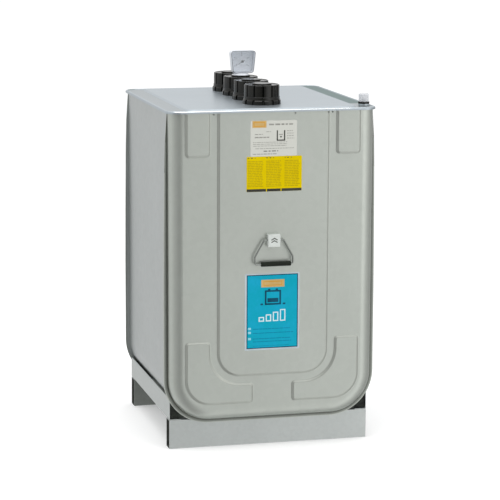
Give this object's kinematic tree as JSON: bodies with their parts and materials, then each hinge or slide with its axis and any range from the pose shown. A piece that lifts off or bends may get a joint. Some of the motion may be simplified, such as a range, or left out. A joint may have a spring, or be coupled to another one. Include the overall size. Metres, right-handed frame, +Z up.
{
  "type": "oil storage tank",
  "caption": "Upright steel-jacketed oil storage tank on a cross-beam frame, with capped top sockets, a level gauge, a leak indicator and hanging bail handles.",
  "frame": {"origin": "centre of the footprint, on the floor", "axes": "+Z up; the front with the labels and the visible handle faces -Y; +X to the right seen from the front"},
  "size_m": [0.73, 0.789, 1.3011],
  "materials": {
    "frame_steel": "galvanised sheet, satin",
    "jacket_steel": "galvanised sheet, satin",
    "lid_steel": "galvanised sheet, satin",
    "bracket_steel": "galvanised, semi-bright",
    "wire_steel": "zinc-plated wire",
    "tank_plastic": "blow-moulded, natural",
    "cap_plastic": "moulded, black, semi-matt",
    "pad_foam": "black, matt",
    "gauge_plastic": "moulded, pale grey",
    "dial_plastic": "printed white",
    "needle_plastic": "black",
    "clear_plastic": "clear moulded plastic",
    "float_plastic": "white",
    "grip_rubber": "black hose",
    "label_white": "film label",
    "label_yellow": "film label",
    "label_blue": "film label"
  },
  "bodies": {
    "tank": {"front_beam": "frame_steel", "rear_beam": "frame_steel", "left_rail": "frame_steel", "right_rail": "frame_steel", "front_left_corner_pad": "pad_foam", "front_right_corner_pad": "pad_foam", "rear_left_corner_pad": "pad_foam", "rear_right_corner_pad": "pad_foam", "side_wrap": "jacket_steel", "front_panel": "jacket_steel", "rear_panel": "jacket_steel", "lid": "lid_steel", "inner_tank": "tank_plastic", "socket_collar_1": "cap_plastic", "socket_collar_2": "cap_plastic", "socket_collar_3": "cap_plastic", "socket_collar_4": "cap_plastic", "screw_cap_1": "cap_plastic", "screw_cap_2": "cap_plastic", "gauge_cap": "cap_plastic", "screw_cap_4": "cap_plastic", "gauge_stem": "gauge_plastic", "gauge_housing": "gauge_plastic", "gauge_dial": "dial_plastic", "gauge_cover": "clear_plastic", "leak_indicator_base": "cap_plastic", "leak_indicator_dome": "clear_plastic", "front_handle_bracket": "bracket_steel", "rear_handle_bracket": "bracket_steel", "upper_label": "label_white", "middle_label": "label_yellow", "lower_label": "label_blue"},
    "front_handle": {"front_bail": "wire_steel", "front_grip": "grip_rubber"},
    "rear_handle": {"rear_bail": "wire_steel", "rear_grip": "grip_rubber"},
    "needle": {"gauge_needle": "needle_plastic"},
    "leak_float": {"leak_float": "float_plastic"}
  },
  "joints": [
    {"name": "front_handle_swing", "type": "hinge", "parent": "tank", "child": "front_handle", "pos_m": [-0.002, -0.3865, 0.7125], "axis": [-1, 0, 0], "range_deg": [0, 180]},
    {"name": "rear_handle_swing", "type": "hinge", "parent": "tank", "child": "rear_handle", "pos_m": [0.002, 0.3865, 0.7125], "axis": [1, 0, 0], "range_deg": [0, 180]},
    {"name": "gauge_needle_turn", "type": "hinge", "parent": "tank", "child": "needle", "pos_m": [0.006, 0.08215, 1.2621], "axis": [0, 1, 0], "range_deg": [0, 244]},
    {"name": "leak_float_rise", "type": "slide", "parent": "tank", "child": "leak_float", "axis": [0, 0, 1], "range_m": [0, 0.012]}
  ]
}
